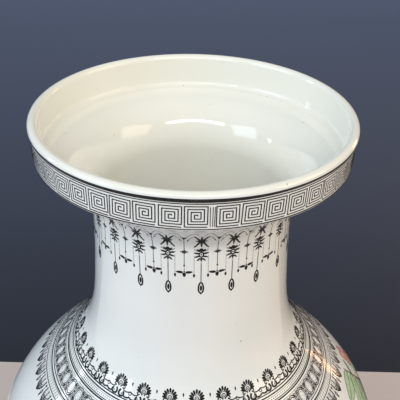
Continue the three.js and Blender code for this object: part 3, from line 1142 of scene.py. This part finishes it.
@dataclass
class ShoulderCollar:
    """Palmettes, scroll brackets, line bands, ovals and a leaf edge on the shoulder."""

    painter: Painter
    palmettes: int = 28
    palmette_phase: float = 3.9
    tip_depth: float = 157.6
    inner_lines: tuple = (170.2, 171.7)
    bead_band: tuple = (172.8, 175.0)
    thick_depth: float = 176.0
    ovals: int = 60
    oval_band: tuple = (178.0, 186.9)
    outer_lines: tuple = (187.6, 189.2)
    hatch_band: tuple = (190.0, 193.3)
    leaves: int = 48
    leaf_depths: tuple = (194.2, 202.2)

    def _span(self, depths: tuple) -> tuple[float, float]:
        """Middle of a band along the meridian in metres, and its height in mm."""
        high, low = (self.painter.surface.at_depth(d) for d in depths)
        return 0.5 * (high + low), (high - low) / MM

    def _palmette(self) -> list:
        """Fans of petals over a small flower, with seeds between and scroll brackets below."""
        surface = self.painter.surface
        base, height = self._span((self.tip_depth, self.inner_lines[0]))
        top = height / 2
        half = math.pi * surface.radius_at(base) / MM / self.palmettes
        ink = Stencil()
        centre = top - 6.3
        for angle in np.linspace(2.0, 178.0, 9):
            reach = 6.3 - 1.2 * abs(angle - 90.0) / 88.0
            direction = math.radians(angle)
            ink.dab(leaf(reach * math.cos(direction), centre + reach * math.sin(direction),
                         3.4, 1.9, float(angle) + 180.0, 10))
        ink.stroke(arc(0.0, centre + 0.2, 2.35, 5, 175, 12), 0.32)
        ink.stroke(ellipse(0.0, centre + 0.2, 1.15, 1.15, count=12), 0.5, closed=True)
        ink.dot(0.0, centre + 0.2, 0.4, 6)
        for angle in (205.0, 250.0, 290.0, 335.0):
            direction = math.radians(angle)
            ink.dab(leaf(1.5 * math.cos(direction), centre + 0.2 + 1.5 * math.sin(direction),
                         1.6, 1.0, angle, 6))
        for points, count, width in (
                ([(0.8, centre - 1.8), (2.8, centre + 0.2), (4.7, centre - 1.0), (3.8, centre - 2.5)], 10, 0.8),
                ([(3.8, centre - 2.5), (3.2, centre - 3.2), (2.4, centre - 2.7), (2.8, centre - 1.9)], 8, 0.7)):
            ink.both(bezier(points, count), width)
        ink.dab(leaf(half, centre + 3.6, 2.6, 1.3, -90.0, 8))
        foot = -top
        for points, count, width in (
                ([(1.7, centre - 3.6), (0.2, centre - 5.6), (0.6, foot + 1.0), (2.7, foot + 1.1)], 12, 1.3),
                ([(2.7, foot + 1.1), (4.8, foot + 1.2), (5.0, foot + 3.8), (3.5, foot + 4.2)], 10, 1.3),
                ([(4.4, foot + 1.9), (6.0, foot + 1.0), (half - 0.9, foot + 1.2), (half, foot + 2.6)], 10, 1.1),
                ([(3.4, centre - 3.3), (5.2, centre - 4.4), (half - 1.6, centre - 4.0), (half, centre - 2.8)], 10, 0.75)):
            ink.both(bezier(points, count), width)
        ink.both(bezier([(2.4, foot + 2.5), (3.2, foot + 2.2), (3.5, foot + 3.0), (2.9, foot + 3.3)], 6), 0.5)
        ink.stroke(ellipse(half, foot + 4.6, 0.9, 0.9, count=10), 0.5, closed=True)
        return [self.painter.lay(Ink.BLACK, "shoulder_palmettes", ink, base, self.palmettes,
                                 phase=self.palmette_phase, wobble=0.15)]

    def _lines(self) -> list:
        """Every line that runs round the shoulder."""
        surface = self.painter.surface
        rows = [
            ("inner_a", self.inner_lines[0], 0.75, Ink.BLACK),
            ("inner_b", self.inner_lines[1], 0.95, Ink.BLACK),
            ("bead_in", self.bead_band[0], 0.25, Ink.GREY),
            ("bead_out", self.bead_band[1], 0.55, Ink.BLACK),
            ("thick", self.thick_depth, 1.15, Ink.BLACK),
            ("oval_in", self.oval_band[0] - 0.5, 0.3, Ink.GREY),
            ("outer_a", self.outer_lines[0], 0.75, Ink.BLACK),
            ("outer_b", self.outer_lines[1], 0.9, Ink.BLACK),
            ("hatch_in", self.hatch_band[0], 0.3, Ink.GREY),
            ("hatch_out", self.hatch_band[1], 0.6, Ink.BLACK),
        ]
        return [self.painter.line(ink, f"shoulder_line_{name}", surface.at_depth(depth), width)
                for name, depth, width, ink in rows]

    def _bead_row(self) -> list:
        """Fine ticks in the light band."""
        base, height = self._span(self.bead_band)
        tick = Stencil()
        tick.dab(ellipse(0.0, 0.0, 0.26, 0.22 * height, count=6))
        return [self.painter.lay(Ink.GREY, "shoulder_ticks", tick, base, 300, wobble=0.03)]

    def _oval_row(self) -> list:
        """White ovals in two rings on a grey wash, with nested arcs in the corners between."""
        surface = self.painter.surface
        base, height = self._span(self.oval_band)
        half = math.pi * surface.radius_at(base) / MM / self.ovals
        wash = self.painter.line(Ink.WASH, "shoulder_oval_wash", base, height, rise=0.03, swing=0.0)
        white, ink, fine = Stencil(rise=0.05), Stencil(), Stencil(rise=0.08)
        white.dab(ellipse(0.0, 0.0, half * 0.60, height * 0.35, count=20))
        ink.stroke(ellipse(0.0, 0.0, half * 0.62, height * 0.36, count=20), 0.66, closed=True)
        ink.stroke(ellipse(0.0, 0.0, half * 0.88, height * 0.475, count=22), 0.6, closed=True)
        fine.stroke(ellipse(0.0, 0.0, half * 0.40, height * 0.24, count=16), 0.22, closed=True)
        fine.dab(leaf(0.0, -0.8, 1.6, 0.4, 90.0, 6))
        edge = height * 0.5
        for sign in (1.0, -1.0):
            for k in range(3):
                turn = ellipse(half, edge, (0.62 - 0.19 * k) * half, (0.30 - 0.085 * k) * height, 190, 350, 9)
                ink.stroke(turn * [1.0, sign], 0.5)
        ink.dab(ellipse(half, 0.0, 0.30, 0.7, count=6))
        phase = 1.5
        return [wash] + [
            self.painter.lay(paint, f"shoulder_oval_{name}", drawing, base, self.ovals,
                             phase=phase, wobble=0.08)
            for paint, name, drawing in ((Ink.WHITE, "grounds", white), (Ink.BLACK, "rings", ink),
                                         (Ink.GREY, "hearts", fine))]

    def _hatch_row(self) -> list:
        """Slanting ticks in the outer light band."""
        base, height = self._span(self.hatch_band)
        tick = Stencil()
        tick.stroke(np.array([[-0.5, -0.36 * height], [0.5, 0.36 * height]]), 0.3)
        return [self.painter.lay(Ink.GREY, "shoulder_hatching", tick, base, 260, wobble=0.03)]

    def _leaf_edge(self) -> list:
        """Lobed leaves that point down the shoulder, grey with black veins, and shoots between."""
        surface = self.painter.surface
        base, height = self._span(self.leaf_depths)
        half = math.pi * surface.radius_at(base) / MM / self.leaves
        top, low = height / 2, -height / 2
        wash, ink, fine = Stencil(rise=0.03), Stencil(), Stencil(rise=0.08)
        lobes = np.concatenate([bezier(points, 7)[:-1] for points in (
            [(0.0, low), (1.1, low + 1.2), (1.8, low + 1.2), (2.2, low + 2.6)],
            [(2.2, low + 2.6), (3.1, low + 2.4), (3.6, low + 3.4), (3.3, low + 4.6)],
            [(3.3, low + 4.6), (4.3, low + 4.8), (4.6, low + 6.0), (4.1, top - 1.2)],
            [(4.1, top - 1.2), (4.6, top - 0.8), (4.4, top - 0.3), (3.6, top)])])
        outline = np.concatenate([lobes, [[3.6, top], [0.0, top], [-3.6, top]], mirrored(lobes)[:-1]])
        wash.dab(outline)
        ink.both(lobes, 1.0)
        ink.stroke(np.array([[0.0, top - 0.2], [0.0, low + 0.6]]), 0.95, taper=(1.0, 0.6))
        for y, reach in ((1.4, 1.3), (3.0, 2.3), (4.6, 3.0), (6.1, 3.3)):
            ink.both(bezier([(0.2, low + y - 0.8), (reach * 0.4, low + y - 0.2), (reach * 0.8, low + y + 0.2),
                             (reach, low + y + 1.0)], 6), 0.8, taper=(1.0, 0.7))
        fine.both(bezier([(half, low + 1.9), (half - 1.2, low + 3.2),
                          (half - 1.3, low + 4.4), (half - 0.5, low + 5.8)], 8), 0.5)
        fine.stroke(np.array([[half, low + 2.4], [half, top - 0.4]]), 0.5)
        ink.dab(leaf(half, low + 2.9, 2.6, 1.9, -90.0, 8))
        ink.dot(half, top - 1.3, 1.0, 8)
        return [
            self.painter.lay(paint, f"shoulder_leaf_{name}", drawing, base, self.leaves,
                             phase=0.8, wobble=0.12)
            for paint, name, drawing in ((Ink.WASH, "grounds", wash), (Ink.BLACK, "veins", ink),
                                         (Ink.GREY, "shoots", fine))]

    def build(self) -> list:
        """Builds the whole collar."""
        return (self._palmette() + self._lines() + self._bead_row() + self._oval_row()
                + self._hatch_row() + self._leaf_edge())


@dataclass
class FootPainting:
    """Plain lines and a small band of square spirals above the foot."""

    painter: Painter
    spirals: int = 44
    low: float = 10.0
    high: float = 25.0

    def build(self) -> list:
        """Builds the foot's line-work."""
        surface = self.painter.surface
        band = Stencil()
        band.stroke(square_spiral(10.8, 9.6, 1.6), 0.58)
        low, high = surface.at_height(self.low), surface.at_height(self.high)
        return [
            self.painter.line(Ink.BLACK, "foot_line_low", surface.at_height(self.low - 3.2), 1.1),
            self.painter.line(Ink.GREY, "foot_line_band_low", low, 0.45),
            self.painter.line(Ink.GREY, "foot_line_band_high", high, 0.45),
            self.painter.lay(Ink.BLACK, "foot_square_spirals", band, 0.5 * (low + high), self.spirals,
                             wobble=0.12),
        ]


@dataclass
class FloweringBranch:
    """A flowering branch in colours on the side and back of the body.

    The photograph shows only its edge, at the right: pale green, a brown line and
    pink. The rest is a common design of the kind.
    """

    painter: Painter
    height: float = 292.0
    centre: float = 150.0
    foliage: tuple = ((-156, 92, 34, 188), (-152, 85, 36, 206), (-148, 77, 35, 225), (-142, 68, 31, 244),
                      (-134, 58, 26, 258))
    blossoms: tuple = ((-128, 86, 10), (-112, 70, 11), (-96, 44, 13), (-70, 66, 10),
                       (-118, 14, 9), (-36, 40, 12), (-8, 66, 9), (22, 34, 14), (58, 52, 10),
                       (92, 20, 13), (120, 44, 8), (62, -24, 11), (-54, -30, 9), (10, -44, 8))

    def _twigs(self) -> list:
        """Centre lines and widths of the wood, in millimetres from the middle of the design."""
        return [
            (bezier([(150, -78), (96, -60), (60, -6), (4, 6)], 60), 4.6, (1.0, 0.75)),
            (bezier([(4, 6), (-40, 16), (-70, 8), (-132, 58)], 60), 3.4, (1.0, 0.35)),
            (bezier([(60, -22), (66, 10), (88, 24), (128, 46)], 40), 2.4, (1.0, 0.35)),
            (bezier([(-26, 10), (-30, 36), (-16, 52), (-6, 72)], 34), 2.0, (1.0, 0.35)),
            (bezier([(-72, 18), (-84, 4), (-104, 6), (-124, 8)], 30), 1.8, (1.0, 0.35)),
            (bezier([(-112, 48), (-134, 54), (-148, 72), (-156, 96)], 40), 2.6, (1.0, 0.5)),
            (bezier([(30, 0), (12, -18), (14, -34), (6, -50)], 30), 1.8, (1.0, 0.35)),
            (bezier([(-20, 6), (-34, -8), (-44, -20), (-60, -36)], 30), 1.8, (1.0, 0.35)),
            (bezier([(24, 4), (30, 24), (46, 40), (60, 56)], 30), 1.9, (1.0, 0.35)),
        ]

    def build(self) -> list:
        """Builds wood, leaves, blossoms, stamens and their outlines."""
        rng = np.random.default_rng(SEED)
        bark, green, pale, pink, yellow, ink = (Stencil(rise=r) for r in (0.07, 0.05, 0.04, 0.08, 0.12, 0.11))
        for line, width, taper in self._twigs():
            bark.stroke(line, width, taper=taper)
            for point, following in zip(line[4:-4:7], line[5:-3:7]):
                along = math.degrees(math.atan2(*(following - point)[::-1]))
                side = float(rng.choice([-1.0, 1.0]))
                angle = along + side * rng.uniform(35, 80)
                length = float(rng.uniform(13, 21))
                blade = leaf(point[0], point[1], length, 0.42 * length, angle, 30)
                (green if rng.random() < 0.55 else pale).dab(blade)
                direction = math.radians(angle)
                tip = point + 0.92 * length * np.array([math.cos(direction), math.sin(direction)])
                ink.stroke(np.array([point, tip]), 0.4, taper=(1.0, 0.4))
        for x, y, length, angle in self.foliage:
            blade = leaf(x, y, length, 0.45 * length, angle, 44)
            pale.dab(blade)
            ink.stroke(blade, 0.35, closed=True)
            ink.stroke(np.array([blade[len(blade) // 2], blade[0]]), 0.5, taper=(1.0, 0.4))
        for x, y, size in self.blossoms:
            spin = float(rng.uniform(0, 72))
            for angle in spin + 72.0 * np.arange(5):
                direction = math.radians(angle)
                u = np.array([math.cos(direction), math.sin(direction)])
                petal = ellipse(0.0, 0.0, 0.5 * size, 0.43 * size, count=22)
                turned = np.column_stack([petal[:, 0] * u[0] - petal[:, 1] * u[1],
                                          petal[:, 0] * u[1] + petal[:, 1] * u[0]]) + [x, y] + 0.52 * size * u
                pink.dab(turned)
                ink.stroke(turned, 0.35, closed=True)
                yellow.dot(x + 0.3 * size * u[0], y + 0.3 * size * u[1], 0.7)
                ink.stroke(np.array([[x, y], [x + 0.28 * size * u[0], y + 0.28 * size * u[1]]]), 0.3)
            yellow.dot(x, y, 0.16 * size, 12)
        base = self.painter.surface.at_height(self.height)
        return [
            self.painter.lay(paint, f"branch_{name}", drawing, base, 1, phase=self.centre)
            for paint, name, drawing in ((Ink.BARK, "wood", bark), (Ink.LEAF, "leaves", green),
                                         (Ink.PALE_LEAF, "pale_leaves", pale), (Ink.BLOSSOM, "petals", pink),
                                         (Ink.STAMEN, "stamens", yellow), (Ink.BLACK, "outlines", ink))]


# Stage


@dataclass(frozen=True)
class PhotoCamera:
    """Camera fitted to the ellipses of the mouth, rim and shoulder, in mouth radii."""

    mouth_radius: float = 0.100
    distance: float = 4.765
    altitude: float = 0.4288
    pan: float = 0.0116
    pitch: float = 0.5411
    roll: float = 0.0248
    focal_pixels: float = 776.3
    picture_pixels: float = 400.0
    sensor: float = 36.0

    def build(self, top: float) -> bpy.types.Object:
        """Places the camera.

        Args:
            top: height in metres that the fit was made to.

        Returns:
            The camera object.
        """
        data = bpy.data.cameras.new("photo_camera")
        data.sensor_width = self.sensor
        data.lens = self.focal_pixels * self.sensor / self.picture_pixels
        data.clip_start, data.clip_end = 0.01, 50.0
        camera = bpy.data.objects.new("photo_camera", data)
        reach = self.distance * self.mouth_radius
        place = Vector((0.0, -reach * math.cos(self.altitude), top + reach * math.sin(self.altitude)))
        ahead = Vector((math.sin(self.pan) * math.cos(self.pitch), math.cos(self.pan) * math.cos(self.pitch),
                        -math.sin(self.pitch)))
        level = ahead.cross(Vector((0, 0, 1))).normalized()
        upright = level.cross(ahead)
        right = math.cos(self.roll) * level + math.sin(self.roll) * upright
        up = -math.sin(self.roll) * level + math.cos(self.roll) * upright
        turn = Matrix((right, up, -ahead)).transposed().to_4x4()
        camera.matrix_world = Matrix.Translation(place) @ turn
        bpy.context.scene.collection.objects.link(camera)
        bpy.context.scene.camera = camera
        return camera


@dataclass(frozen=True)
class Softbox:
    """A square lamp aimed at the pot."""

    name: str
    place: tuple
    target: tuple
    size: tuple
    watts: float
    colour: tuple = (1.0, 1.0, 1.0)

    def build(self) -> bpy.types.Object:
        """Places the lamp."""
        data = bpy.data.lights.new(self.name, "AREA")
        data.shape = "RECTANGLE"
        data.size, data.size_y = self.size
        data.energy = self.watts
        data.color = self.colour
        lamp = bpy.data.objects.new(self.name, data)
        lamp.location = self.place
        aim = Vector(self.target) - Vector(self.place)
        lamp.rotation_euler = aim.to_track_quat("-Z", "Y").to_euler()
        bpy.context.scene.collection.objects.link(lamp)
        return lamp


@dataclass
class Studio:
    """Floor, soft light and the plain air around the pot."""

    table_colour: tuple = (0.58, 0.51, 0.49)
    # Backdrop tones are painted light: dark near the table's edge and paler far behind, as the light falls off.
    backdrop_shaded_near: tuple = (0.016, 0.021, 0.036)
    backdrop_lit_far: tuple = (0.140, 0.174, 0.280)
    backdrop_depth: float = 1.8
    table_edge: float = 0.402
    edge_slant: float = -0.015
    air_colour: tuple = (0.085, 0.10, 0.14)
    light_colour: tuple = (0.88, 0.94, 1.0)
    light_strength: float = 0.42
    floor_half: float = 6.0
    lamps: tuple = (
        Softbox("ceiling_strip", (-0.05, -1.60, 2.08), (0.0, 0.0, 0.5), (2.4, 0.20), 31.0, (1.0, 0.98, 0.92)),
        Softbox("left_window", (-2.0, -0.9, 1.4), (0.0, 0.0, 0.45), (1.2, 1.5), 21.0, (0.70, 0.86, 1.0)),
        Softbox("left_pane", (-1.9, 0.35, 0.95), (0.0, 0.0, 0.42), (0.16, 0.8), 4.0, (0.76, 0.90, 1.0)),
        Softbox("right_warm", (1.25, 0.95, 0.60), (0.0, 0.0, 0.42), (0.22, 0.7), 3.4, (1.0, 0.52, 0.22)),
        Softbox("right_fill", (1.9, -0.5, 1.3), (0.0, 0.0, 0.42), (1.3, 1.3), 15.0, (1.0, 0.76, 0.46)),
    )

    def _floor(self) -> bpy.types.Object:
        """A pale table, and the dark backdrop that starts at its far edge and pales with distance, a painted
        falloff of light.
        """
        h, edge = self.floor_half, self.table_edge
        slant = self.edge_slant * h
        corners = np.array([[-h, -h, 0.0], [h, -h, 0.0], [h, edge + slant, 0.0], [-h, edge - slant, 0.0],
                            [h, h, 0.0], [-h, h, 0.0]])
        floor = finish_mesh("floor", corners, [np.array([[0, 1, 2, 3], [3, 2, 4, 5]])], False)
        # The backdrop's ramp from dark near the table to pale far behind is painted light falloff.
        for index, (name, near, far) in enumerate((
                ("table_paint", tuple(0.95 * c for c in self.table_colour), self.table_colour),
                ("backdrop_cloth", self.backdrop_shaded_near, self.backdrop_lit_far))):
            material, nodes, links, shader, coordinates = new_material(name)
            split = nodes.new("ShaderNodeSeparateXYZ")
            links.new(coordinates.outputs["Object"], split.inputs[0])
            away = nodes.new("ShaderNodeMapRange")
            away.inputs["From Min"].default_value = self.table_edge
            away.inputs["From Max"].default_value = self.table_edge + self.backdrop_depth
            links.new(split.outputs["Y"], away.inputs["Value"])
            tone = ramp_node(nodes, links, away.outputs["Result"], [(0.0, near), (1.0, far)])
            links.new(tone, shader.inputs["Base Color"])
            shader.inputs["Roughness"].default_value = 0.8
            floor.data.materials.append(material)
            floor.data.polygons[index].material_index = index
        return floor

    def _air(self) -> None:
        """World that lights softly, and shows the floor's tone to the eye and to gloss."""
        world = bpy.data.worlds.new("studio_air")
        bpy.context.scene.world = world
        world.use_nodes = True
        nodes, links = world.node_tree.nodes, world.node_tree.links
        light = nodes["Background"]
        light.inputs["Color"].default_value = (*self.light_colour, 1.0)
        light.inputs["Strength"].default_value = self.light_strength
        seen = nodes.new("ShaderNodeBackground")
        seen.inputs["Color"].default_value = (*self.air_colour, 1.0)
        seen.inputs["Strength"].default_value = 1.0
        path = nodes.new("ShaderNodeLightPath")
        either = nodes.new("ShaderNodeMath")
        either.operation = "MAXIMUM"
        links.new(path.outputs["Is Camera Ray"], either.inputs[0])
        links.new(path.outputs["Is Glossy Ray"], either.inputs[1])
        through = nodes.new("ShaderNodeMath")
        through.operation = "MAXIMUM"
        links.new(either.outputs[0], through.inputs[0])
        links.new(path.outputs["Is Transmission Ray"], through.inputs[1])
        mix = nodes.new("ShaderNodeMixShader")
        links.new(through.outputs[0], mix.inputs["Fac"])
        links.new(light.outputs[0], mix.inputs[1])
        links.new(seen.outputs[0], mix.inputs[2])
        links.new(mix.outputs[0], nodes["World Output"].inputs["Surface"])

    def build(self) -> None:
        """Builds floor, air and lamps."""
        self._floor()
        self._air()
        for lamp in self.lamps:
            lamp.build()
        bpy.context.scene.view_settings.view_transform = "Standard"


def report(pieces: list) -> None:
    """Logs each piece with its number of faces."""
    for piece in pieces:
        LOG.info("%s: %d faces", piece.name, len(piece.data.polygons))


def main() -> None:
    """Builds camera, stage, pot and painting in order."""
    logging.basicConfig(level=logging.INFO)
    form = VaseForm()
    PhotoCamera().build(form.datum)
    Studio().build()
    report(Pot(form).build())
    painter = Painter(GlazeSurface(form))
    for painting in (RimPainting, NeckPendants, ShoulderCollar, FootPainting, FloweringBranch):
        report(painting(painter).build())


if __name__ == "__main__":
    main()
